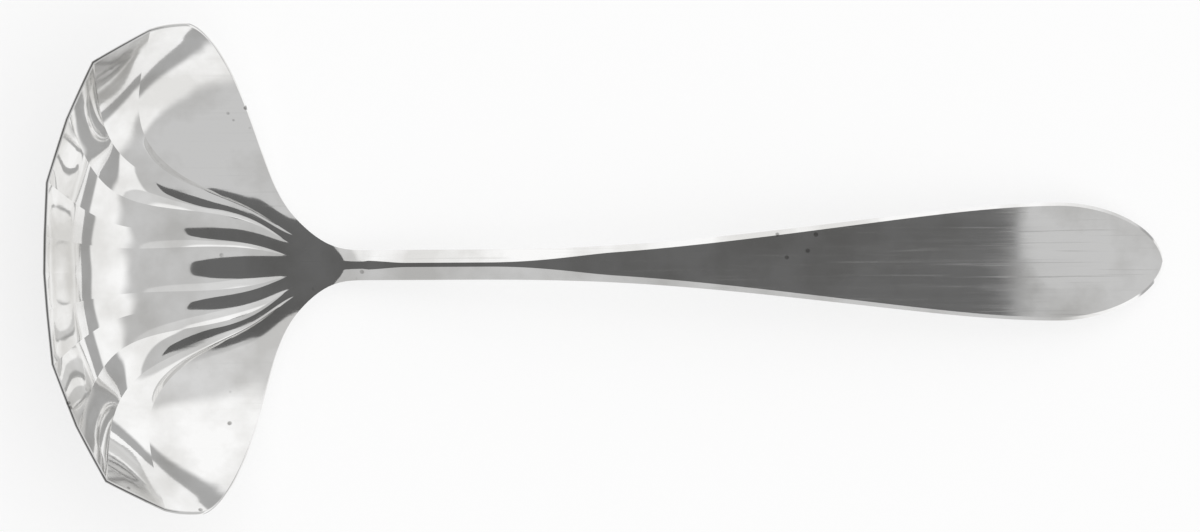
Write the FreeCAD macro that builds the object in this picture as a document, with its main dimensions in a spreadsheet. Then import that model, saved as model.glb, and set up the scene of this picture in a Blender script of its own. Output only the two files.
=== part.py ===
import FreeCAD, Part
import math
import os

import Sketcher
from FreeCAD import Rotation, Vector

# A gravy ladle made as one piece: a wide fluted bowl, a neck, and an arched handle with bevelled edges.
# Millimetres. X runs from the bowl to the tip of the handle, Y across the bowl and Z up.
# The ladle lies on a table at Z = 0, on the bowl's underside and on the tip of the handle.
# Inside this file X is counted from the junction, where the bowl's two shoulders run into the neck.

SIZES = {
    # Outline of the bowl, measured to the outside of its rim
    "bowl_width": 78.1,
    "bowl_front": 40.7,
    "bowl_centre": 17.0,
    "rim_power": 2.2,
    # Heights of the rim above the table
    "front_rim_height": 16.5,
    "side_rim_height": 18.6,
    "rim_slope": 0.27,
    # Section of the bowl
    "wall_thickness": 0.95,
    "rim_thickness": 0.55,
    "floor_share": 0.45,
    "side_wall_power": 2.2,
    "front_wall_power": 4.5,
    "shoulder_power": 2.0,
    "shoulder_start": 36.0,
    "shoulder_end": 8.0,
    "low_point": 10.5,
    "floor_rise": 10.8,
    # Flutes: six raised creases, at these angles of the rim counted from the handle's direction
    "flute_depth": 0.5,
    "side_flute_depth": 1.6,
    "lobe_depth": 0.35,
    "notch_angle": 98.3,
    "side_ridge_angle": 128.0,
    "front_ridge_angle": 165.9,
    # How far each flute's valley pushes the rim out
    "side_bulge": 1.0,
    "corner_bulge": 0.45,
    "front_bulge": 0.1,
    # The bowl sits turned by this angle against the handle
    "bowl_skew": 1.5,
    # Neck, where bowl and handle meet
    "neck_x": 10.0,
    "neck_width": 4.8,
    "neck_thickness": 3.2,
    "neck_bevel": 1.8,
    "bevel_start": 3.0,
    "thickening_start": 6.0,
    # Handle
    "arch_x": 57.0,
    "arch_height": 9.9,
    "handle_width": 18.8,
    "widest_x": 120.8,
    "tip_x": 137.35,
    "tip_thickness": 1.3,
    "tip_bevel": 0.5,
    "bevel_slope": 0.5,
    "taper_start": 26.0,
}

doc = FreeCAD.newDocument("gravy_ladle")
sheet = doc.addObject("Spreadsheet::Sheet", "sizes")
for row, (name, value) in enumerate(SIZES.items(), 1):
    sheet.set(f"A{row}", name)
    sheet.set(f"B{row}", str(value))
    sheet.setAlias(f"B{row}", name)
doc.recompute()


def size(name):
    return float(sheet.get(name))


# The ladle's long reference lines

bowl_front = size("bowl_front")
bowl_centre = size("bowl_centre")
neck_x = size("neck_x")
low_x = -size("low_point")
rim_thickness = size("rim_thickness")
half_width = size("bowl_width") / 2 - rim_thickness
front_reach = bowl_front - bowl_centre - rim_thickness
neck_half = size("neck_width") / 2
floor_low = size("wall_thickness") + size("flute_depth")

# The floor's curve and the handle's arch are two parabolas that meet smoothly at the neck
neck_height = (
    floor_low * (size("arch_x") - neck_x) + size("arch_height") * (neck_x - low_x)
) / (size("arch_x") - low_x)
neck_drop = size("neck_bevel") * size("bevel_slope")
neck_flat = neck_half - size("neck_bevel")


def smooth_step(start, end, value):
    share = min(max((value - start) / (end - start), 0.0), 1.0)
    return share * share * (3 - 2 * share)


def mix(first, second, share):
    return first * (1 - share) + second * share


def level_curve(points):
    """A smooth curve through the points that starts and ends level, as a function of x."""
    curve = Part.BSplineCurve()
    curve.interpolate(
        Points=[Vector(x, y, 0) for x, y in points],
        Parameters=[x for x, y in points],
        InitialTangent=Vector(1, 0, 0),
        FinalTangent=Vector(1, 0, 0),
        Scale=False,
    )
    return lambda x: curve.value(min(max(x, points[0][0]), points[-1][0])).y


# How the shoulders fall from the bowl's full width (1) to the neck (0)
shoulder_fall = level_curve(
    [(0, 1), (0.185, 0.884), (0.352, 0.598), (0.467, 0.327), (0.63, 0.122), (0.811, 0.022), (1, 0)]
)
RIM_FALL_POWER = 1.5


def fall(x):
    return shoulder_fall((x + bowl_centre) / (neck_x + bowl_centre))


def rim_half_width(x):
    """Half the width inside the rim, from the bowl's centre to the neck."""
    return mix(neck_half, half_width, fall(x))


def floor_line(x):
    """Height of the bowl's centre line, before its wall is added."""
    if x < low_x:
        return floor_low + size("floor_rise") * ((low_x - x) / (bowl_front + low_x)) ** 2
    return mix(floor_low, neck_height, ((x - low_x) / (neck_x - low_x)) ** 2)


def rim_line(x):
    """Height of the rim: it bends down to the front and falls along the shoulders to the neck."""
    ahead = -bowl_centre - x
    bend = size("side_rim_height") + size("rim_slope") * front_reach - size("front_rim_height")
    height = size("side_rim_height") + size("rim_slope") * ahead
    height -= bend * (max(ahead, 0.0) / front_reach) ** 2
    neck_edge = floor_line(x) - neck_drop * smooth_step(size("bevel_start"), neck_x, x)
    return mix(neck_edge, height, max(fall(x), 0.0) ** RIM_FALL_POWER)


def reach(x, y):
    """0 on the bowl's centre line, 1 on the rim's oval."""
    if x > -bowl_centre:
        return abs(y) / rim_half_width(x)
    power = size("rim_power")
    ahead = (-bowl_centre - x) / front_reach
    aside = abs(y) / half_width
    return (ahead**power + aside**power) ** (1 / power)


def wall_power(x, y):
    """The wall rises late and steeply at the front, and earlier and more gently at the sides."""
    sideways = 1.0 if x > -bowl_centre else abs(y) / half_width / max(reach(x, y), 1e-6)
    ahead = mix(size("front_wall_power"), size("side_wall_power"), sideways**2)
    behind = smooth_step(-size("shoulder_start"), -size("shoulder_end"), x)
    return mix(ahead, size("shoulder_power"), behind)


def wall_share(x, y, stretch):
    """How far up the wall a point lies. At the neck the section turns into a flat and two bevels."""
    across = reach(x, y) * stretch
    behind = smooth_step(-size("shoulder_start"), -size("shoulder_end"), x)
    start = size("floor_share") * (1 - behind)
    wall = max((across - start) / (1 - start), 0.0) ** wall_power(x, y)
    flat = neck_flat / neck_half
    bevel = max((across - flat) / (1 - flat), 0.0)
    return mix(wall, bevel, smooth_step(size("bevel_start"), neck_x, x))


def inside_height(x, y, stretch):
    """Height of the inside. The stretch brings the rim's straight stretches out to its oval."""
    return mix(floor_line(x), rim_line(x), wall_share(x, y, stretch))


LEVEL_ZONE = 0.95
LEVEL_POWER = 6


def outward(x, y, stretch):
    """The direction through the sheet, away from the inside. At the rim it is level."""
    step = 0.01
    ahead = inside_height(x + step, y, stretch) - inside_height(x - step, y, stretch)
    aside = inside_height(x, y + step, stretch) - inside_height(x, y - step, stretch)
    level = min(reach(x, y) * stretch / LEVEL_ZONE, 1.0) ** LEVEL_POWER
    level *= 1 - smooth_step(-bowl_centre, 0, x)
    return Vector(ahead / (2 * step), aside / (2 * step), level - 1).normalize()


def turned(point):
    """The bowl's turn against the handle, which fades out along the neck."""
    angle = size("bowl_skew") * (1 - smooth_step(low_x, neck_x, point.x))
    return Rotation(Vector(0, 0, 1), angle).multVec(point)


THINNING_POWER = 4


def bowl_point(x, y, push, outside, stretch=1.0):
    """A point of the bowl's inside or outside, pushed out by the depth of its flute."""
    direction = outward(x, y, stretch)
    start = Vector(x, y, inside_height(x, y, stretch))
    if not outside:
        return turned(start + direction * push)
    thinning = min(reach(x, y), 1.0) ** THINNING_POWER
    thickness = mix(size("wall_thickness"), rim_thickness, thinning)
    under_neck = Vector(x, y, floor_line(x) - size("neck_thickness"))
    sheet_side = start + direction * (push + thickness)
    return turned(mix(sheet_side, under_neck, smooth_step(-size("thickening_start"), neck_x, x)))


# Plan of the flutes: where the creases run, from the neck to the rim

ROWS = 17
FLUTE_COLUMNS = 5
LOBE_COLUMNS = 7
# Shares of a crease's length from the neck, between which each form comes in
FLUTE_FADE = (0.18, 0.42)
SIDE_FADE = (0.45, 0.7)
VALLEY_FADE = (0.5, 0.8)
BULGE_FADE = (0.7, 1)
LOBE_FADE = (0.75, 1)
FLUTE_POWER = 3
# Degrees of rim between the end crease and the lobe's own rim
NOTCH_STEP = 3
STRETCH_POWER = 4


def rim_point(angle):
    """A point of the rim's plan at an angle from the handle's direction."""
    turn = math.radians(angle)
    power = size("rim_power")
    ahead = abs(math.cos(turn)) / front_reach
    aside = abs(math.sin(turn)) / half_width
    radius = (ahead**power + aside**power) ** (-1 / power)
    return Vector(radius * math.cos(turn) - bowl_centre, radius * math.sin(turn), 0)


def even_points(points, count):
    """Points at even steps along a smooth curve through the given ones."""
    curve = Part.BSplineCurve()
    curve.interpolate(Points=points)
    return curve.toShape().discretize(Number=count)


def crease(start_share, course, angle):
    """The plan of a crease: it leaves the neck, passes the points of its course and meets the rim."""
    start = Vector(neck_x, start_share * neck_flat, 0)
    points = [Vector(x * bowl_front, y * half_width, 0) for x, y in course]
    return even_points([start] + points + [rim_point(angle)], ROWS)


# Courses as shares of the bowl's front reach and half width
FRONT_COURSE = [(0, 0.029), (-0.15, 0.068), (-0.47, 0.091), (-0.74, 0.099)]
SIDE_COURSE = [(0, 0.07), (-0.15, 0.164), (-0.41, 0.239), (-0.73, 0.338)]
END_COURSE = [(0, 0.109), (-0.19, 0.244), (-0.44, 0.379), (-0.6, 0.579), (-0.605, 0.753)]

front_crease = crease(0.2, FRONT_COURSE, size("front_ridge_angle"))
side_crease = crease(0.6, SIDE_COURSE, size("side_ridge_angle"))
end_crease = crease(1.0, END_COURSE, size("notch_angle"))


def mirrored(points):
    return [Vector(point.x, -point.y, point.z) for point in points]


def flute_depth(along, middle_depth, bulge):
    """Depth of a flute's valley at a share of its length from the neck."""
    depth = mix(size("flute_depth"), middle_depth, smooth_step(*SIDE_FADE, along))
    return mix(depth * smooth_step(*FLUTE_FADE, along), bulge, smooth_step(*BULGE_FADE, along))


def half_flute(first, last, angles, middle_depth, bulge, outside):
    """Grid of the half of a flute from its first crease to its valley.

    Near the neck the flute has a flat bottom, and towards the rim two facets with a valley.
    """
    valley_end = rim_point(sum(angles) / 2)
    swell = valley_end - (first[-1] + last[-1]) / 2
    grid = []
    for row in range(ROWS):
        along = row / (ROWS - 1)
        depth = flute_depth(along, middle_depth, bulge)
        line = []
        for column in range(FLUTE_COLUMNS):
            inward = column / (FLUTE_COLUMNS - 1)
            rim = mix(first[-1], valley_end, inward)
            stretch = mix(1, 1 / reach(rim.x, rim.y), along**STRETCH_POWER)
            plan = mix(first[row], last[row], inward / 2) + swell * along * inward
            flat_bottom = 1 - (1 - inward) ** FLUTE_POWER
            hollow = mix(flat_bottom, inward, smooth_step(*VALLEY_FADE, along))
            line.append(bowl_point(plan.x, plan.y, depth * hollow, outside, stretch))
        grid.append(line)
    return grid


def shoulder_rim():
    """The plan of the rim from the neck round the end lobe, to just before the notch."""
    steps = 60
    back = [mix(neck_x, -bowl_centre, step / steps) for step in range(steps + 1)]
    points = [Vector(x, rim_half_width(x), 0) for x in back]
    last_angle = size("notch_angle") - NOTCH_STEP
    points += [rim_point(mix(90, last_angle, step / 6)) for step in range(1, 7)]
    return even_points(points, ROWS)


def lobe(side, outside):
    """Grid of an end lobe, from the end crease to the rim. They end side by side at the notch."""
    rim = shoulder_rim()
    grid = []
    for row in range(ROWS):
        along = row / (ROWS - 1)
        fade = smooth_step(*FLUTE_FADE, along) * (1 - smooth_step(*LOBE_FADE, along))
        depth = size("lobe_depth") * fade
        line = []
        for column in range(LOBE_COLUMNS):
            share = column / (LOBE_COLUMNS - 1)
            plan = mix(end_crease[row], rim[row], share)
            push = depth * 4 * share * (1 - share)
            line.append(bowl_point(plan.x, plan.y * side, push, outside))
        grid.append(line)
    return grid


# Surfaces through the grids. All share one way of spacing, so neighbours have the same edges.


def poles_through(points):
    """Poles of the smooth curve through the points, which are taken as evenly spaced."""
    count = len(points)
    if points[0].isEqual(points[-1], 1e-7) and points[0].isEqual(points[1], 1e-7):
        return [points[0]] * (count + 2)
    curve = Part.BSplineCurve()
    curve.interpolate(Points=points, Parameters=[i / (count - 1) for i in range(count)])
    return curve.getPoles()


def knots(count):
    return [i / (count - 1) for i in range(count)], [4] + [1] * (count - 2) + [4]


def smooth_face(grid):
    rows = [poles_through(line) for line in grid]
    columns = [poles_through(list(column)) for column in zip(*rows)]
    poles = [list(line) for line in zip(*columns)]
    u_knots, u_counts = knots(len(grid))
    v_knots, v_counts = knots(len(grid[0]))
    surface = Part.BSplineSurface()
    surface.buildFromPolesMultsKnots(
        poles, u_counts, v_counts, u_knots, v_knots, False, False, 3, 3
    )
    return surface.toShape()


def strip_face(inner, outer):
    """The narrow face of the rim between an inner and an outer edge."""
    edge_knots, counts = knots(len(inner))
    surface = Part.BSplineSurface()
    surface.buildFromPolesMultsKnots(
        [poles_through(inner), poles_through(outer)],
        [2, 2], counts, [0, 1], edge_knots, False, False, 1, 3,
    )
    return surface.toShape()


def flute_plans():
    """The two creases, their rim angles and the depths of each flute, from side to side."""
    angles = [size("notch_angle"), size("side_ridge_angle"), size("front_ridge_angle")]
    angles += [360 - angle for angle in reversed(angles)]
    creases = [end_crease, side_crease, front_crease]
    creases += [mirrored(points) for points in reversed(creases)]
    side_forms = (size("side_flute_depth"), size("side_bulge"))
    corner_forms = (size("flute_depth"), size("corner_bulge"))
    front_forms = (size("flute_depth"), size("front_bulge"))
    forms = [side_forms, corner_forms, front_forms, corner_forms, side_forms]
    return [
        (creases[i], creases[i + 1], (angles[i], angles[i + 1]), *forms[i]) for i in range(len(forms))
    ]


def bowl_faces():
    faces = []
    neck_ends = []
    for first, last, angles, depth, bulge in flute_plans():
        for one, other in ((first, last), (last, first)):
            inner = half_flute(one, other, angles, depth, bulge, outside=False)
            outer = half_flute(one, other, angles, depth, bulge, outside=True)
            faces += [smooth_face(inner), smooth_face(outer), strip_face(inner[-1], outer[-1])]
            neck_ends += [(inner[0][0], inner[0][-1]), (outer[0][0], outer[0][-1])]
    for side in (1, -1):
        inner = lobe(side, outside=False)
        outer = lobe(side, outside=True)
        inner_rim = [line[-1] for line in inner]
        outer_rim = [line[-1] for line in outer]
        faces += [smooth_face(inner), smooth_face(outer)]
        faces += [strip_face(inner_rim, outer_rim), strip_face(inner[-1], outer[-1])]
        neck_ends += [(inner[0][0], inner_rim[0]), (outer[0][0], outer_rim[0])]
        neck_ends.append((inner_rim[0], outer_rim[0]))
    edges = [Part.makeLine(start, end) for start, end in neck_ends]
    faces.append(Part.Face(Part.Wire(Part.__sortEdges__(edges))))
    return faces


def closed_solid(faces):
    shape = Part.makeCompound(faces)
    shape.sewShape()
    solid = Part.Solid(Part.Shell(shape.Faces))
    if solid.Volume < 0:
        solid.reverse()
    return solid


bowl = doc.addObject("Part::Feature", "bowl")
bowl.Shape = closed_solid(bowl_faces())


# Handle: a loft through upright sections, each a flat top between two bevels

handle = doc.addObject("PartDesign::Body", "handle")
across_plane = next(
    feature for feature in handle.Origin.OriginFeatures if feature.Role == "YZ_Plane"
)
STEM = "(sizes.taper_start - sizes.neck_x)"
ARCH = "(sizes.arch_x - sizes.neck_x)"
TAPER = "(sizes.widest_x - sizes.taper_start)"
END = "(sizes.tip_x - sizes.widest_x)"
NECK_HEIGHT = (
    "((sizes.wall_thickness + sizes.flute_depth) * (sizes.arch_x - sizes.neck_x)"
    " + sizes.arch_height * (sizes.neck_x + sizes.low_point)) / (sizes.arch_x + sizes.low_point)"
)
END_POWER = 1.9
# How the half width grows from the neck (0) to the widest place (1)
blade_growth = level_curve([(0, 0), (0.24, 0.07), (0.5, 0.365), (0.75, 0.755), (1, 1)])


STEM_SHARES = (0, 0.5, 1)
BLADE_SHARES = (0.2, 0.4, 0.6, 0.8, 1.0)
END_SHARES = (0.4, 0.66, 0.85, 0.95, 0.992)


def stations():
    """Places of the sections along the handle, their share of the widening, and whether at the end."""
    places = [(f"sizes.neck_x + {STEM} * {share}", 0.0, False) for share in STEM_SHARES]
    for share in BLADE_SHARES:
        places.append((f"sizes.taper_start + {TAPER} * {share}", blade_growth(share), False))
    for share in END_SHARES:
        width = (1 - share**END_POWER) ** (1 / END_POWER)
        places.append((f"sizes.widest_x + {END} * {share}", width, True))
    return places


def height_formula(place):
    """The arch: one parabola from the neck up to its crown, another down to the tip."""
    rising = f"(({NECK_HEIGHT}) - sizes.arch_height) * (({place} - sizes.arch_x) / {ARCH}) ^ 2"
    falling = (
        "(sizes.tip_thickness - sizes.arch_height)"
        f" * (({place} - sizes.arch_x) / (sizes.tip_x - sizes.arch_x)) ^ 2"
    )
    return f"sizes.arch_height + (({place}) < sizes.arch_x ? {rising} : {falling})"


# A rough hexagon to draw each section with, before its dimensions set it
FIRST_DRAFT = [(-3, 5), (-1, 6), (1, 6), (3, 5), (3, 2), (-3, 2)]


def section(name, place, growth, at_end):
    """One upright section: a flat top, two bevels, two sides and a flat underside."""
    sketch = handle.newObject("Sketcher::SketchObject", name)
    sketch.AttachmentSupport = [(across_plane, "")]
    sketch.MapMode = "FlatFace"
    sketch.setExpression("AttachmentOffset.Base.z", place)
    base = "0" if at_end else "sizes.neck_width"
    width = f"{base} + (sizes.handle_width - {base}) * {growth}"
    passed = f"(({place} - sizes.neck_x) / (sizes.tip_x - sizes.neck_x))"
    bevel = f"(sizes.tip_bevel + (sizes.neck_bevel - sizes.tip_bevel) * (1 - {passed}) ^ 2)"
    thickness = f"sizes.neck_thickness + (sizes.tip_thickness - sizes.neck_thickness) * {passed}"
    corners = [Vector(x, y, 0) for x, y in FIRST_DRAFT]
    following = corners[1:] + corners[:1]
    for corner, other in zip(corners, following):
        sketch.addGeometry(Part.LineSegment(corner, other), False)
    for i in range(len(corners)):
        sketch.addConstraint(Sketcher.Constraint("Coincident", i - 1 if i else 5, 2, i, 1))
    for left, right in ((0, 3), (1, 2), (5, 4)):
        sketch.addConstraint(Sketcher.Constraint("Symmetric", left, 1, right, 1, -2))
    sketch.addConstraint(Sketcher.Constraint("Vertical", 3))
    dimensions = {
        "width": (Sketcher.Constraint("DistanceX", 5, 1, 4, 1, 6), width),
        "flat": (Sketcher.Constraint("DistanceX", 1, 1, 2, 1, 2), f"{width} - 2 * {bevel}"),
        "top": (Sketcher.Constraint("DistanceY", -1, 1, 1, 1, 6), height_formula(place)),
        "drop": (Sketcher.Constraint("DistanceY", 0, 1, 1, 1, 1), f"{bevel} * sizes.bevel_slope"),
        "thickness": (Sketcher.Constraint("DistanceY", 5, 1, 1, 1, 4), thickness),
    }
    for label, (constraint, formula) in dimensions.items():
        constraint.Name = label
        sketch.addConstraint(constraint)
        sketch.setExpression(f"Constraints.{label}", formula)
    return sketch


sections = [
    section(f"section_{number}", *station) for number, station in enumerate(stations())
]
doc.recompute()
blade = handle.newObject("PartDesign::AdditiveLoft", "blade")
blade.Profile = sections[0]
blade.Sections = sections[1:]
doc.recompute()

ladle = doc.addObject("Part::Fuse", "ladle")
ladle.Base = bowl
ladle.Tool = handle
ladle.Label = "ladle"
middle = (size("tip_x") - bowl_front) / 2
ladle.Placement = FreeCAD.Placement(Vector(-middle, 0, 0), Rotation())
doc.recompute()

for item in doc.Objects:
    if "Invalid" in item.State or "Error" in item.State:
        raise RuntimeError(f"{item.Name} did not build: {item.State}")
if ladle.Shape.isNull() or not ladle.Shape.isValid() or len(ladle.Shape.Solids) != 1:
    raise RuntimeError("the ladle is not one valid solid")

print("bowl volume", bowl.Shape.Volume, "handle volume", handle.Shape.Volume)
print("ladle volume", ladle.Shape.Volume, ladle.Shape.BoundBox)
os.makedirs("parts", exist_ok=True)
ladle.Shape.exportStep("parts/ladle.step")
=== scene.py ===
import math

import bpy
import bmesh
import numpy as np
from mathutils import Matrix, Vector


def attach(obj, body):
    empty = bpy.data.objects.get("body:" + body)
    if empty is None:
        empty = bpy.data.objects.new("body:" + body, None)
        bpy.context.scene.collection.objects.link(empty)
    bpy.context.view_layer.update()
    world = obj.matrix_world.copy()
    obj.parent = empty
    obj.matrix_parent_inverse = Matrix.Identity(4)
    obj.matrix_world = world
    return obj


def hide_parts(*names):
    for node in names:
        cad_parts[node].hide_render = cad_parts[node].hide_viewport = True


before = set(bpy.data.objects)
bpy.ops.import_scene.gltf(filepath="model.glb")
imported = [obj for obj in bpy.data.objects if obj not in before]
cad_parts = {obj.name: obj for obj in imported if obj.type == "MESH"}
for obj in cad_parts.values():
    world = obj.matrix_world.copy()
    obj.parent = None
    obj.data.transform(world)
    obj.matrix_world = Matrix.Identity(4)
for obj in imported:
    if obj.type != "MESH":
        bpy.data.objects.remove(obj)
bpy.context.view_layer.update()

# The ladle's sizes in millimetres, as in the part's source. X is counted from the junction of
# bowl and neck, where the shoulders run together.

BOWL_WIDTH = 78.1
BOWL_FRONT = 40.7
BOWL_CENTRE = 17.0
RIM_POWER = 2.2
FRONT_RIM_HEIGHT = 16.5
SIDE_RIM_HEIGHT = 18.6
RIM_SLOPE = 0.27
WALL_THICKNESS = 0.95
RIM_THICKNESS = 0.55
FLOOR_SHARE = 0.45
SIDE_WALL_POWER = 2.2
FRONT_WALL_POWER = 4.5
SHOULDER_POWER = 2.0
SHOULDER_START = 36.0
SHOULDER_END = 8.0
LOW_POINT = 10.5
FLOOR_RISE = 10.8
FLUTE_DEPTH = 0.5
SIDE_FLUTE_DEPTH = 1.6
LOBE_DEPTH = 0.35
NOTCH_ANGLE = 98.3
SIDE_RIDGE_ANGLE = 128.0
FRONT_RIDGE_ANGLE = 165.9
SIDE_BULGE = 1.0
CORNER_BULGE = 0.45
FRONT_BULGE = 0.1
BOWL_SKEW = 1.5
NECK_X = 10.0
NECK_WIDTH = 4.8
NECK_THICKNESS = 3.2
NECK_BEVEL = 1.8
BEVEL_START = 3.0
THICKENING_START = 6.0
ARCH_X = 57.0
ARCH_HEIGHT = 9.9
HANDLE_WIDTH = 18.8
WIDEST_X = 120.8
TIP_X = 137.35
TIP_THICKNESS = 1.3
TIP_BEVEL = 0.5
BEVEL_SLOPE = 0.5
TAPER_START = 26.0
END_POWER = 1.9
FLAT_LEAST_SHARE = 0.3
FLUTE_POWER = 3
STRETCH_POWER = 4
LEVEL_ZONE = 0.95
LEVEL_POWER = 6
THINNING_POWER = 4

# Shares of a crease's length from the neck, between which each form comes in
FLUTE_FADE = (0.18, 0.42)
SIDE_FADE = (0.45, 0.7)
VALLEY_FADE = (0.5, 0.8)
BULGE_FADE = (0.7, 1)
LOBE_FADE = (0.75, 1)
RIM_FALL_POWER = 1.5

MM = 0.001
MIDDLE_X = (TIP_X - BOWL_FRONT) / 2
HALF_WIDTH = BOWL_WIDTH / 2 - RIM_THICKNESS
FRONT_REACH = BOWL_FRONT - BOWL_CENTRE - RIM_THICKNESS
NECK_HALF = NECK_WIDTH / 2
LOW_X = -LOW_POINT
FLOOR_LOW = WALL_THICKNESS + FLUTE_DEPTH
NECK_HEIGHT = (FLOOR_LOW * (ARCH_X - NECK_X) + ARCH_HEIGHT * (NECK_X - LOW_X)) / (ARCH_X - LOW_X)
NECK_DROP = NECK_BEVEL * BEVEL_SLOPE
NECK_FLAT = NECK_HALF - NECK_BEVEL

# How finely the visible skin is divided
BOWL_ROWS = 150
HANDLE_ROWS = 190
HANDLE_END_ROWS = 60
FLUTES = 5
FLUTE_COLUMNS = 14
LOBE_COLUMNS = 26
# Wear and edges of the skin: height of the rounded rim, rows over which it fades, and the share
# of a crease's length beyond which the valleys are sharp
RIM_ROUNDING = 0.16
RIM_FADE_ROWS = 50
VALLEY_START = 0.66
# Where the stem's worn ridge begins and ends, and the ridge's share of the stem's width
STEM_WEAR_START = 17.0
STEM_WEAR_END = (30.0, 50.0)
STEM_RIDGE_SHARE = 0.14


def smooth_step(start, end, value):
    share = np.clip((value - start) / (end - start), 0, 1)
    return share * share * (3 - 2 * share)


def mix(first, second, share):
    return first * (1 - share) + second * share


def spline(places, values, level_ends):
    """A smooth cubic curve through the points, as a function of place."""
    places = np.asarray(places, float)
    values = np.asarray(values, float)
    count = len(places)
    gaps = np.diff(places)
    rises = np.diff(values) / gaps
    matrix = np.zeros((count, count))
    right = np.zeros(count)
    for i in range(1, count - 1):
        matrix[i, i - 1] = 1 / gaps[i - 1]
        matrix[i, i] = 2 / gaps[i - 1] + 2 / gaps[i]
        matrix[i, i + 1] = 1 / gaps[i]
        right[i] = 3 * (rises[i - 1] / gaps[i - 1] + rises[i] / gaps[i])
    if level_ends:
        matrix[0, 0] = matrix[-1, -1] = 1
    else:
        matrix[0, :2] = 2, 1
        matrix[-1, -2:] = 1, 2
        right[0] = 3 * rises[0]
        right[-1] = 3 * rises[-1]
    slopes = np.linalg.solve(matrix, right)

    def curve(place):
        place = np.clip(place, places[0], places[-1])
        i = np.clip(np.searchsorted(places, place, side="right") - 1, 0, count - 2)
        share = (place - places[i]) / gaps[i]
        lift = share * share * (3 - 2 * share)
        return (
            mix(values[i], values[i + 1], lift)
            + gaps[i] * slopes[i] * share * (1 - share) ** 2
            - gaps[i] * slopes[i + 1] * share * share * (1 - share)
        )

    return curve


shoulder_fall = spline(
    [0, 0.185, 0.352, 0.467, 0.63, 0.811, 1], [1, 0.884, 0.598, 0.327, 0.122, 0.022, 0], True
)
blade_growth = spline([0, 0.24, 0.5, 0.75, 1], [0, 0.07, 0.365, 0.755, 1], True)


def fall(x):
    return shoulder_fall((x + BOWL_CENTRE) / (NECK_X + BOWL_CENTRE))


def rim_half_width(x):
    return mix(NECK_HALF, HALF_WIDTH, fall(x))


def floor_line(x):
    ahead = FLOOR_LOW + FLOOR_RISE * ((LOW_X - x) / (BOWL_FRONT + LOW_X)) ** 2
    behind = mix(FLOOR_LOW, NECK_HEIGHT, ((x - LOW_X) / (NECK_X - LOW_X)) ** 2)
    return np.where(x < LOW_X, ahead, behind)


def rim_line(x):
    ahead = -BOWL_CENTRE - x
    bend = SIDE_RIM_HEIGHT + RIM_SLOPE * FRONT_REACH - FRONT_RIM_HEIGHT
    height = SIDE_RIM_HEIGHT + RIM_SLOPE * ahead
    height = height - bend * (np.maximum(ahead, 0) / FRONT_REACH) ** 2
    neck_edge = floor_line(x) - NECK_DROP * smooth_step(BEVEL_START, NECK_X, x)
    return mix(neck_edge, height, np.maximum(fall(x), 0) ** RIM_FALL_POWER)


def reach(x, y):
    """0 on the bowl's centre line, 1 on the rim."""
    ahead = np.maximum(-BOWL_CENTRE - x, 0) / FRONT_REACH
    aside = np.abs(y) / HALF_WIDTH
    front = (ahead**RIM_POWER + aside**RIM_POWER) ** (1 / RIM_POWER)
    return np.where(x > -BOWL_CENTRE, np.abs(y) / rim_half_width(x), front)


def inside_height(x, y, stretch):
    """Height of the inside. The stretch brings the rim's straight stretches out to its oval."""
    across = reach(x, y) * stretch
    behind = smooth_step(-SHOULDER_START, -SHOULDER_END, x)
    start = FLOOR_SHARE * (1 - behind)
    sideways = np.where(
        x > -BOWL_CENTRE, 1, np.abs(y) / HALF_WIDTH / np.maximum(reach(x, y), 1e-6)
    )
    power = mix(FRONT_WALL_POWER, SIDE_WALL_POWER, sideways**2)
    wall = np.maximum((across - start) / (1 - start), 0) ** mix(power, SHOULDER_POWER, behind)
    flat = NECK_FLAT / NECK_HALF
    bevel = np.maximum((across - flat) / (1 - flat), 0)
    up_the_wall = mix(wall, bevel, smooth_step(BEVEL_START, NECK_X, x))
    return mix(floor_line(x), rim_line(x), up_the_wall)


def outward(x, y, stretch):
    """The direction through the sheet, away from the inside. At the rim it is level."""
    step = 0.01
    ahead = inside_height(x + step, y, stretch) - inside_height(x - step, y, stretch)
    aside = inside_height(x, y + step, stretch) - inside_height(x, y - step, stretch)
    level = np.minimum(reach(x, y) * stretch / LEVEL_ZONE, 1) ** LEVEL_POWER
    level = level * (1 - smooth_step(-BOWL_CENTRE, 0, x))
    direction = np.stack([ahead / (2 * step), aside / (2 * step), level - 1], -1)
    return direction / np.linalg.norm(direction, axis=-1, keepdims=True)


def turned(points):
    """The bowl's turn against the handle, which fades out along the neck."""
    angle = np.radians(BOWL_SKEW) * (1 - smooth_step(LOW_X, NECK_X, points[..., 0]))
    x, y, z = points[..., 0], points[..., 1], points[..., 2]
    return np.stack(
        [x * np.cos(angle) - y * np.sin(angle), x * np.sin(angle) + y * np.cos(angle), z], -1
    )


def bowl_points(x, y, push, outside, stretch):
    """Points of the bowl's inside or outside, pushed out by the depth of their flutes."""
    direction = outward(x, y, stretch)
    start = np.stack([x, y, inside_height(x, y, stretch)], -1)
    if not outside:
        return turned(start + direction * push[..., None])
    thickness = mix(WALL_THICKNESS, RIM_THICKNESS, np.minimum(reach(x, y), 1) ** THINNING_POWER)
    sheet_side = start + direction * (push + thickness)[..., None]
    under_neck = np.stack([x, y, floor_line(x) - NECK_THICKNESS], -1)
    return turned(mix(sheet_side, under_neck, smooth_step(-THICKENING_START, NECK_X, x)[..., None]))


def rim_point(angle):
    turn = np.radians(angle)
    ahead = np.abs(np.cos(turn)) / FRONT_REACH
    aside = np.abs(np.sin(turn)) / HALF_WIDTH
    radius = (ahead**RIM_POWER + aside**RIM_POWER) ** (-1 / RIM_POWER)
    return np.stack([radius * np.cos(turn) - BOWL_CENTRE, radius * np.sin(turn)], -1)


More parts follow.
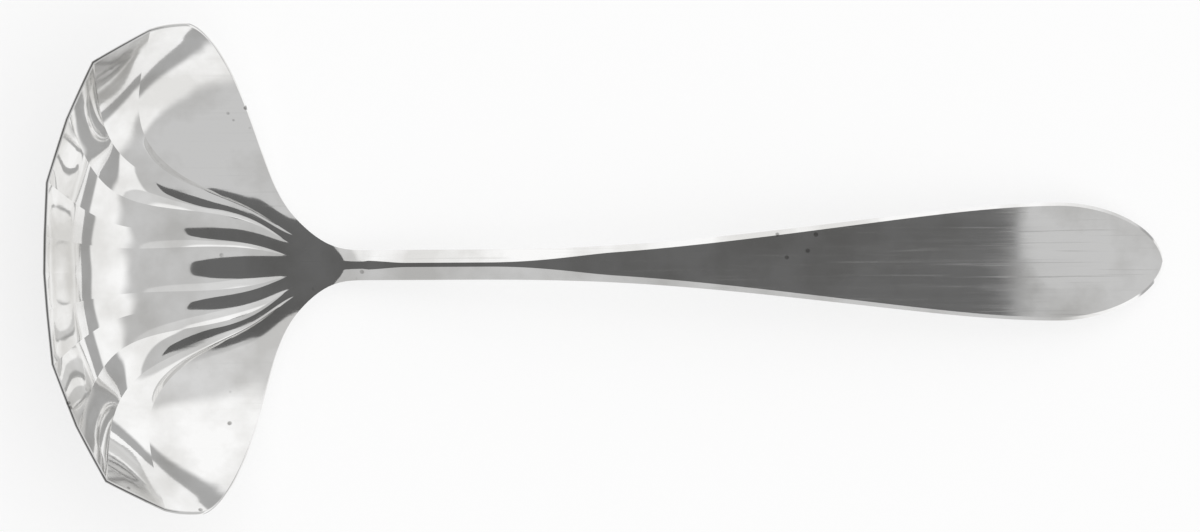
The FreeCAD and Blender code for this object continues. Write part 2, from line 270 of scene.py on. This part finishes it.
def even_points(points, count):
    """Points at even steps along the polyline."""
    lengths = np.r_[0, np.cumsum(np.linalg.norm(np.diff(points, axis=0), axis=1))]
    steps = np.linspace(0, lengths[-1], count)
    return np.stack([np.interp(steps, lengths, points[:, i]) for i in (0, 1)], -1)


def smooth_course(points, count):
    points = np.asarray(points, float)
    places = np.r_[0, np.cumsum(np.linalg.norm(np.diff(points, axis=0), axis=1))]
    fine = np.linspace(0, places[-1], 3000)
    dense = np.stack([spline(places, points[:, i], False)(fine) for i in (0, 1)], -1)
    return even_points(dense, count)


def crease(start_share, course, angle):
    """The plan of a crease: it leaves the neck, passes its course and meets the rim."""
    start = [(NECK_X, start_share * NECK_FLAT)]
    middle = [(x * BOWL_FRONT, y * HALF_WIDTH) for x, y in course]
    return smooth_course(start + middle + [tuple(rim_point(angle))], BOWL_ROWS)


FRONT_COURSE = [(0, 0.029), (-0.15, 0.068), (-0.47, 0.091), (-0.74, 0.099)]
SIDE_COURSE = [(0, 0.07), (-0.15, 0.164), (-0.41, 0.239), (-0.73, 0.338)]
END_COURSE = [(0, 0.109), (-0.19, 0.244), (-0.44, 0.379), (-0.6, 0.579), (-0.605, 0.753)]

front_crease = crease(0.2, FRONT_COURSE, FRONT_RIDGE_ANGLE)
side_crease = crease(0.6, SIDE_COURSE, SIDE_RIDGE_ANGLE)
end_crease = crease(1.0, END_COURSE, NOTCH_ANGLE)
along = np.linspace(0, 1, BOWL_ROWS)[:, None]
MIRROR = np.array([1, -1])


def flute(first, last, first_angle, last_angle, middle_depth, bulge, outside):
    """Grid of one flute: flat near the neck, and two facets with a valley between at the rim."""
    share = np.linspace(0, 1, FLUTE_COLUMNS + 1)[None, :]
    inward = 1 - np.abs(2 * share - 1)
    depth = mix(FLUTE_DEPTH, middle_depth, smooth_step(*SIDE_FADE, along))
    depth = mix(depth * smooth_step(*FLUTE_FADE, along), bulge, smooth_step(*BULGE_FADE, along))
    swell = rim_point((first_angle + last_angle) / 2) - (first[-1] + last[-1]) / 2
    plan = mix(first[:, None], last[:, None], share[..., None])
    plan = plan + swell * (along * inward)[..., None]
    rim_reach = reach(plan[-1:, :, 0], plan[-1:, :, 1])
    stretch = mix(1, 1 / rim_reach, along**STRETCH_POWER)
    flat_bottom = 1 - (1 - inward) ** FLUTE_POWER
    hollow = mix(flat_bottom, inward, smooth_step(*VALLEY_FADE, along))
    return bowl_points(plan[..., 0], plan[..., 1], depth * hollow, outside, stretch)


def lobe(side, outside):
    """Grid of an end lobe, from the end crease to the rim."""
    back = np.linspace(NECK_X, -BOWL_CENTRE, 1200)
    notch_side = rim_point(np.linspace(90, NOTCH_ANGLE, 200)[1:])
    rim = even_points(np.r_[np.stack([back, rim_half_width(back)], -1), notch_side], BOWL_ROWS)
    share = np.linspace(0, 1, LOBE_COLUMNS + 1)[None, :]
    depth = LOBE_DEPTH * smooth_step(*FLUTE_FADE, along) * (1 - smooth_step(*LOBE_FADE, along))
    plan = mix(end_crease[:, None], rim[:, None], share[..., None])
    push = depth * 4 * share * (1 - share)
    return bowl_points(plan[..., 0], plan[..., 1] * side, push, outside, 1)


def bowl_grid(outside):
    """The whole bowl, from one shoulder across the flutes to the other."""
    angles = [NOTCH_ANGLE, SIDE_RIDGE_ANGLE, FRONT_RIDGE_ANGLE]
    angles += [360 - angle for angle in reversed(angles)]
    creases = [end_crease, side_crease, front_crease]
    creases += [line * MIRROR for line in reversed(creases)]
    bulges = [SIDE_BULGE, CORNER_BULGE, FRONT_BULGE, CORNER_BULGE, SIDE_BULGE]
    depths = [SIDE_FLUTE_DEPTH, FLUTE_DEPTH, FLUTE_DEPTH, FLUTE_DEPTH, SIDE_FLUTE_DEPTH]
    parts = [lobe(1, outside)[:, ::-1]]
    for i, (depth, bulge) in enumerate(zip(depths, bulges)):
        grid = flute(creases[i], creases[i + 1], angles[i], angles[i + 1], depth, bulge, outside)
        parts.append(grid[:, 1:])
    parts.append(lobe(-1, outside)[:, 1:])
    return np.concatenate(parts, 1)


def handle_grid(outside):
    """The handle's top or underside, from the neck to the tip, with the bowl's columns."""
    straight = np.linspace(NECK_X, WIDEST_X, HANDLE_ROWS - HANDLE_END_ROWS, endpoint=False)[1:]
    end = WIDEST_X + (TIP_X - WIDEST_X) * np.sin(np.linspace(0, math.pi / 2, HANDLE_END_ROWS))
    x = np.r_[straight, end][:, None]
    growth = blade_growth((x - TAPER_START) / (WIDEST_X - TAPER_START))
    passed = (x - NECK_X) / (TIP_X - NECK_X)
    round_end = np.clip((x - WIDEST_X) / (TIP_X - WIDEST_X), 0, 1)
    closing = np.maximum(1 - round_end**END_POWER, 0) ** (1 / END_POWER)
    half = mix(NECK_HALF, HANDLE_WIDTH / 2, growth) * closing
    bevel = TIP_BEVEL + (NECK_BEVEL - TIP_BEVEL) * (1 - passed) ** 2
    flat = np.maximum(half - bevel, FLAT_LEAST_SHARE * half)
    # Polish has worn the stem's flat down to a narrow ridge
    worn = smooth_step(NECK_X, STEM_WEAR_START, x) * (1 - smooth_step(*STEM_WEAR_END, x))
    flat = mix(flat, STEM_RIDGE_SHARE * half, worn)
    rising = (NECK_HEIGHT - ARCH_HEIGHT) * ((x - ARCH_X) / (NECK_X - ARCH_X)) ** 2
    falling = (TIP_THICKNESS - ARCH_HEIGHT) * ((x - ARCH_X) / (TIP_X - ARCH_X)) ** 2
    top = ARCH_HEIGHT + np.where(x < ARCH_X, rising, falling)
    bevel_share = np.linspace(1, 0, LOBE_COLUMNS + 1)
    flat_share = np.linspace(1, -1, FLUTES * FLUTE_COLUMNS + 1)[1:-1]
    y = np.concatenate([
        mix(flat, half, bevel_share), flat * flat_share, -mix(flat, half, bevel_share[::-1])
    ], 1)
    if outside:
        z = top - mix(NECK_THICKNESS, TIP_THICKNESS, passed) + 0 * y
    else:
        z = top - np.maximum(np.abs(y) - flat, 0) * BEVEL_SLOPE
    return np.stack([x + 0 * y, y, z], -1)


def skin():
    """The ladle as one closed mesh: its top and underside, joined along rim and edges."""
    grids = [np.concatenate([bowl_grid(side)[::-1], handle_grid(side)]) for side in (False, True)]
    rows, columns = grids[0].shape[:2]
    points = np.concatenate([grid.reshape(-1, 3) for grid in grids])
    points[:, 0] -= MIDDLE_X
    under = rows * columns
    number = np.arange(rows * columns).reshape(rows, columns)
    corners = [number[:-1, :-1], number[:-1, 1:], number[1:, 1:], number[1:, :-1]]
    top = np.stack(corners, -1).reshape(-1, 4)
    faces = [top[:, ::-1], top + under]
    # The outline runs up one side, round the rim and down the other. The worn rim is rounded.
    outline = np.r_[number[::-1, 0], number[0, 1:-1], number[:, -1]]
    crest = (points[outline] + points[outline + under]) / 2
    crest[:, 2] += RIM_ROUNDING * rim_share(rows, columns)
    middle = len(points) + np.arange(len(outline))
    for first, second in ((outline, middle), (middle, outline + under)):
        faces.append(np.stack([first[:-1], first[1:], second[1:], second[:-1]], -1))
    points = np.concatenate([points, crest])
    return points * MM, np.concatenate(faces), sharp_lines(number, outline, under)


def rim_share(rows, columns):
    """1 round the bowl's rim, falling to 0 where the rim runs into the neck and handle."""
    side = np.clip((BOWL_ROWS - np.arange(rows)) / RIM_FADE_ROWS, 0, 1)
    return np.r_[side[::-1], np.ones(columns - 2), side]


def sharp_lines(number, outline, under):
    """Pairs of points along the ridges, the valleys near the rim, the bevels and the outline."""
    ridges = LOBE_COLUMNS + FLUTE_COLUMNS * np.arange(FLUTES + 1)
    valleys = ridges[:-1] + FLUTE_COLUMNS // 2
    valley_rows = round(BOWL_ROWS * (1 - VALLEY_START))
    lines = [number[:BOWL_ROWS, column] for column in ridges]
    lines += [number[:valley_rows, column] for column in valleys]
    lines += [number[BOWL_ROWS - 1 :, column] for column in (ridges[0], ridges[-1])]
    lines.append(outline)
    pairs = np.concatenate([np.stack([line[:-1], line[1:]], -1) for line in lines])
    return np.concatenate([pairs, pairs + under])


def build_ladle():
    points, faces, sharp = skin()
    mesh = bpy.data.meshes.new("ladle_skin")
    mesh.from_pydata(points.tolist(), [], faces.tolist())
    work = bmesh.new()
    work.from_mesh(mesh)
    work.verts.ensure_lookup_table()
    for first, second in sharp.tolist():
        edge = work.edges.get((work.verts[first], work.verts[second]))
        if edge:
            edge.smooth = False
    for face in work.faces:
        face.smooth = True
    bmesh.ops.remove_doubles(work, verts=work.verts, dist=1e-6)
    bmesh.ops.recalc_face_normals(work, faces=work.faces)
    work.to_mesh(mesh)
    work.free()
    ladle = bpy.data.objects.new("ladle_skin", mesh)
    bpy.context.scene.collection.objects.link(ladle)
    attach(ladle, "root")
    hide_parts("ladle")
    return ladle


# Materials

# Where along the ladle, in metres from its middle, the wiping scratches begin and are full
WIPED_FROM = -0.075
WIPED_FULLY = -0.035

# How often each pattern of wear repeats in a metre, along, across and upwards
BRUSHING_SCALE = (40, 1400, 90)
HAIRLINE_SCALE = (45, 2600, 60)
DULLING_SCALE = (38, 150, 60)
CLOUD_SCALE = (90, 90, 90)
PIT_PATCH_SCALE = (75, 75, 75)
PIT_CELL_SCALE = 330.0
# The noise values between which each pattern comes in
HAIRLINE_RANGE = (0.60, 0.72)
DULLING_RANGE = (0.4, 0.66)
BRUSHING_RANGE = (0.4, 0.7)
CLOUD_ROUGHNESS_RANGE = (0.3, 0.75)
CLOUD_TONE_RANGE = (0.42, 0.64)
PIT_PATCH_RANGE = (0.58, 0.64)
PIT_EDGE_RANGE = (0.09, 0.15)
# What each pattern adds to the roughness
POLISHED_ROUGHNESS = 0.03
CLOUDED_ROUGHNESS = 0.09
DULLING_ROUGHNESS = 0.045
BRUSHING_ROUGHNESS = 0.035
HAIRLINE_ROUGHNESS = 0.1
PIT_ROUGHNESS = 0.1
# Colours, and how fully hairlines and pits show theirs
SILVER = (0.95, 0.948, 0.942, 1)
TARNISHED = (0.77, 0.763, 0.747, 1)
SCRATCHED = (0.72, 0.715, 0.7, 1)
PITTED = (0.25, 0.245, 0.235, 1)
HAIRLINE_SHARE = 0.3
PIT_SHARE = 0.8
SURFACE_BUMP = 0.09
SURFACE_BUMP_DEPTH = 0.00002


def new_material(name):
    material = bpy.data.materials.new(name)
    material.use_nodes = True
    return material, material.node_tree.nodes, material.node_tree.links


def silver():
    """Polished silver: fine scratches along the piece, a few pits and a breath of tarnish."""
    material, nodes, links = new_material("polished_silver")
    shader = nodes["Principled BSDF"]
    shader.inputs["Metallic"].default_value = 1.0
    place = nodes.new("ShaderNodeTexCoord")

    def stretched(scale):
        mapping = nodes.new("ShaderNodeMapping")
        mapping.inputs["Scale"].default_value = scale
        links.new(place.outputs["Object"], mapping.inputs["Vector"])
        return mapping.outputs["Vector"]

    def noise(vector, scale, detail):
        texture = nodes.new("ShaderNodeTexNoise")
        texture.inputs["Scale"].default_value = scale
        texture.inputs["Detail"].default_value = detail
        links.new(vector, texture.inputs["Vector"])
        return texture.outputs["Fac"]

    def ramp(value, low, high, low_result, high_result):
        spread = nodes.new("ShaderNodeMapRange")
        spread.inputs["From Min"].default_value = low
        spread.inputs["From Max"].default_value = high
        spread.inputs["To Min"].default_value = low_result
        spread.inputs["To Max"].default_value = high_result
        links.new(value, spread.inputs["Value"])
        return spread.outputs["Result"]

    def combine(operation, first, second):
        node = nodes.new("ShaderNodeMath")
        node.operation = operation
        links.new(first, node.inputs[0])
        links.new(second, node.inputs[1])
        return node.outputs[0]

    def tinted(share, base, colour):
        node = nodes.new("ShaderNodeMix")
        node.data_type = "RGBA"
        links.new(share, node.inputs["Factor"])
        if hasattr(base, "links"):
            links.new(base, node.inputs["A"])
        else:
            node.inputs["A"].default_value = base
        node.inputs["B"].default_value = colour
        return node.outputs["Result"]

    brushed = noise(stretched(BRUSHING_SCALE), 1.0, 3)
    hairlines = ramp(noise(stretched(HAIRLINE_SCALE), 1.0, 2), *HAIRLINE_RANGE, 0, 1)
    # Wiping has scratched and dulled the neck and handle, and left the bowl's front out
    split = nodes.new("ShaderNodeSeparateXYZ")
    links.new(place.outputs["Object"], split.inputs["Vector"])
    on_handle = ramp(split.outputs["X"], WIPED_FROM, WIPED_FULLY, 0, 1)
    hairlines = combine("MULTIPLY", hairlines, on_handle)
    clouds = noise(stretched(CLOUD_SCALE), 1.0, 4)
    # Pits are the middles of some cells, where the second noise lets them through
    cells = nodes.new("ShaderNodeTexVoronoi")
    cells.inputs["Scale"].default_value = PIT_CELL_SCALE
    links.new(place.outputs["Object"], cells.inputs["Vector"])
    dots = ramp(cells.outputs["Distance"], *PIT_EDGE_RANGE, 1, 0)
    patches = ramp(noise(stretched(PIT_PATCH_SCALE), 1.0, 2), *PIT_PATCH_RANGE, 0, 1)
    pits = combine("MULTIPLY", dots, patches)

    dulled = ramp(noise(stretched(DULLING_SCALE), 1.0, 4), *DULLING_RANGE, 0, DULLING_ROUGHNESS)
    dulled = combine("MULTIPLY", dulled, on_handle)
    streaks = ramp(brushed, *BRUSHING_RANGE, 0, BRUSHING_ROUGHNESS)
    dulled = combine("ADD", dulled, combine("MULTIPLY", streaks, on_handle))
    polished = ramp(clouds, *CLOUD_ROUGHNESS_RANGE, POLISHED_ROUGHNESS, CLOUDED_ROUGHNESS)
    roughness = combine("ADD", polished, dulled)
    roughness = combine("ADD", roughness, ramp(hairlines, 0, 1, 0, HAIRLINE_ROUGHNESS))
    roughness = combine("ADD", roughness, ramp(pits, 0, 1, 0, PIT_ROUGHNESS))
    links.new(roughness, shader.inputs["Roughness"])
    tone = tinted(ramp(clouds, *CLOUD_TONE_RANGE, 0, 1), SILVER, TARNISHED)
    tone = tinted(ramp(hairlines, 0, 1, 0, HAIRLINE_SHARE), tone, SCRATCHED)
    tone = tinted(ramp(pits, 0, 1, 0, PIT_SHARE), tone, PITTED)
    links.new(tone, shader.inputs["Base Color"])
    bump = nodes.new("ShaderNodeBump")
    bump.inputs["Strength"].default_value = SURFACE_BUMP
    bump.inputs["Distance"].default_value = SURFACE_BUMP_DEPTH
    links.new(combine("SUBTRACT", brushed, pits), bump.inputs["Height"])
    links.new(bump.outputs["Normal"], shader.inputs["Normal"])
    return material


# How much of the floor's look is its own glow, where it is seen
FLOOR_GLOW = 0.65
FLOOR_COLOUR = (0.97, 0.97, 0.97, 1)
FLOOR_ROUGHNESS = 0.9


def floor_material():
    """A matt white table. It glows a little where it is seen, so that it shows white."""
    material, nodes, links = new_material("white_floor")
    shader = nodes["Principled BSDF"]
    shader.inputs["Base Color"].default_value = FLOOR_COLOUR
    shader.inputs["Roughness"].default_value = FLOOR_ROUGHNESS
    shader.inputs["Specular IOR Level"].default_value = 0.0
    glow = nodes.new("ShaderNodeEmission")
    glow.inputs["Color"].default_value = (1, 1, 1, 1)
    glow.inputs["Strength"].default_value = 1.0
    path = nodes.new("ShaderNodeLightPath")
    seen = path.outputs["Is Camera Ray"]
    for name in ("Is Glossy Ray", "Is Transmission Ray"):
        either = nodes.new("ShaderNodeMath")
        either.operation = "MAXIMUM"
        links.new(seen, either.inputs[0])
        links.new(path.outputs[name], either.inputs[1])
        seen = either.outputs[0]
    share = nodes.new("ShaderNodeMath")
    share.operation = "MULTIPLY"
    share.inputs[1].default_value = FLOOR_GLOW
    links.new(seen, share.inputs[0])
    mixed = nodes.new("ShaderNodeMixShader")
    links.new(share.outputs[0], mixed.inputs[0])
    links.new(shader.outputs["BSDF"], mixed.inputs[1])
    links.new(glow.outputs["Emission"], mixed.inputs[2])
    links.new(mixed.outputs[0], nodes["Material Output"].inputs["Surface"])
    return material


# Studio: a pale table, a bright tent with a darker opening overhead, and a camera that looks down

FLOOR_HALF = 1.2

# The tent's zones, by the direction's X, Y and Z. Each pair is where a zone starts and is full.
TABLE_EDGE = (0.10, 0.16)
TABLE_TONE = 0.42
# Over the handle's end the grey near the table reaches higher
FRONT = (0.5, 0.7)
FRONT_TABLE_RISE = 0.13
ROOF_EDGE = (0.44, 0.34)
ROOF_TILT = -0.4
ROOF_TONE = 0.58
SIDE_TONE = 1.0
LAMP_START = (0.36, 0.40)
LAMP_END = (0.70, 0.78)
LAMP_TONE = 0.70
BACK = (-0.55, -0.62)
BACK_HEIGHT = (0.34, 0.44)
BACK_TONE = 0.56

# The dark opening is a rounded box, narrower over the handle's end
OPENING_SHIFT = 0.157
OPENING_LENGTH = 0.471
OPENING_WIDTH = 0.38
OPENING_ROUNDNESS = 4.0
OPENING_EDGE = (0.985, 1.015)
NARROWING_ZONE = (-0.2, 0.26)
OPENING_NARROWING = 0.6
OPENING_TONE = 0.13

SUN_STRENGTH = 1.5
SUN_SPREAD = 120
SUN_DIRECTION = (0.6, 0.1, 0.8)

PHOTO_WIDTH = 1200
PHOTO_SCALE = 178.0 / 1119.8
SENSOR_WIDTH = 36.0
CAMERA_HEIGHT = 4.0
CAMERA_REACH = 10
CAMERA_ROLL = -0.3
CAMERA_CENTRE = (-0.64, -0.33)
FOCUS_HEIGHT = 12.0


def build_floor():
    mesh = bpy.data.meshes.new("floor")
    half = FLOOR_HALF
    corners = [(-half, -half, 0), (half, -half, 0), (half, half, 0), (-half, half, 0)]
    mesh.from_pydata(corners, [], [(0, 1, 2, 3)])
    floor = bpy.data.objects.new("floor", mesh)
    bpy.context.scene.collection.objects.link(floor)
    mesh.materials.append(floor_material())


def build_world():
    world = bpy.data.worlds.new("tent")
    bpy.context.scene.world = world
    world.use_nodes = True
    nodes, links = world.node_tree.nodes, world.node_tree.links
    background = nodes["Background"]
    place = nodes.new("ShaderNodeTexCoord")

    def math_node(operation, first, second):
        node = nodes.new("ShaderNodeMath")
        node.operation = operation
        for socket, value in zip(node.inputs, (first, second)):
            if hasattr(value, "links"):
                links.new(value, socket)
            else:
                socket.default_value = value
        return node.outputs[0]

    def soft(value, start, end):
        node = nodes.new("ShaderNodeMapRange")
        node.interpolation_type = "SMOOTHSTEP"
        node.inputs["From Min"].default_value = start
        node.inputs["From Max"].default_value = end
        links.new(value, node.inputs["Value"])
        return node.outputs["Result"]

    def blend(share, first, second):
        node = nodes.new("ShaderNodeMix")
        node.data_type = "FLOAT"
        links.new(share, node.inputs["Factor"])
        for name, value in (("A", first), ("B", second)):
            if hasattr(value, "links"):
                links.new(value, node.inputs[name])
            else:
                node.inputs[name].default_value = value
        return node.outputs["Result"]

    split = nodes.new("ShaderNodeSeparateXYZ")
    links.new(place.outputs["Generated"], split.inputs["Vector"])
    x, y, z = split.outputs["X"], split.outputs["Y"], split.outputs["Z"]
    # The tent: a grey roof, white sides, a grey rim near the table, a pale lamp on one side and
    # a grey wall behind the bowl
    rise = math_node("MULTIPLY", soft(x, *FRONT), FRONT_TABLE_RISE)
    above_table = soft(math_node("SUBTRACT", z, rise), *TABLE_EDGE)
    roof_edge = math_node("ADD", z, math_node("MULTIPLY", x, ROOF_TILT))
    tent = blend(soft(roof_edge, *ROOF_EDGE), ROOF_TONE, SIDE_TONE)
    tent = blend(soft(y, *LAMP_START), tent, LAMP_TONE)
    tent = blend(soft(y, *LAMP_END), tent, SIDE_TONE)
    behind = math_node("MULTIPLY", soft(x, *BACK), soft(z, *BACK_HEIGHT))
    tent = blend(behind, tent, BACK_TONE)
    tent = blend(above_table, TABLE_TONE, tent)
    # Distance from the middle of the dark opening overhead, 1 on its edge
    across = math_node("DIVIDE", math_node("ADD", x, OPENING_SHIFT), OPENING_LENGTH)
    narrowing = math_node("MULTIPLY", soft(x, *NARROWING_ZONE), OPENING_NARROWING)
    width = math_node("MULTIPLY", math_node("SUBTRACT", 1.0, narrowing), OPENING_WIDTH)
    aside = math_node("DIVIDE", y, width)
    across, aside = (
        math_node("POWER", math_node("ABSOLUTE", value, 0.0), OPENING_ROUNDNESS)
        for value in (across, aside)
    )
    tent = blend(soft(math_node("ADD", across, aside), *OPENING_EDGE), OPENING_TONE, tent)
    background.inputs["Color"].default_value = (1, 1, 1, 1)
    links.new(tent, background.inputs["Strength"])


def build_camera():
    data = bpy.data.cameras.new("camera")
    data.sensor_width = SENSOR_WIDTH
    distance = CAMERA_HEIGHT - FOCUS_HEIGHT * MM
    data.lens = SENSOR_WIDTH * distance / (PHOTO_WIDTH * PHOTO_SCALE * MM)
    data.clip_end = CAMERA_REACH
    camera = bpy.data.objects.new("camera", data)
    camera.location = (CAMERA_CENTRE[0] * MM, CAMERA_CENTRE[1] * MM, CAMERA_HEIGHT)
    camera.rotation_euler = (0, 0, math.radians(CAMERA_ROLL))
    bpy.context.scene.collection.objects.link(camera)
    bpy.context.scene.camera = camera


def build_lamp():
    data = bpy.data.lights.new("soft_lamp", "SUN")
    data.energy = SUN_STRENGTH
    data.angle = math.radians(SUN_SPREAD)
    lamp = bpy.data.objects.new("soft_lamp", data)
    lamp.rotation_euler = Vector(SUN_DIRECTION).to_track_quat("Z", "Y").to_euler()
    lamp.visible_glossy = False
    bpy.context.scene.collection.objects.link(lamp)


ladle = build_ladle()
ladle.data.materials.append(silver())
build_floor()
build_world()
build_lamp()
build_camera()
bpy.context.scene.view_settings.view_transform = "Standard"
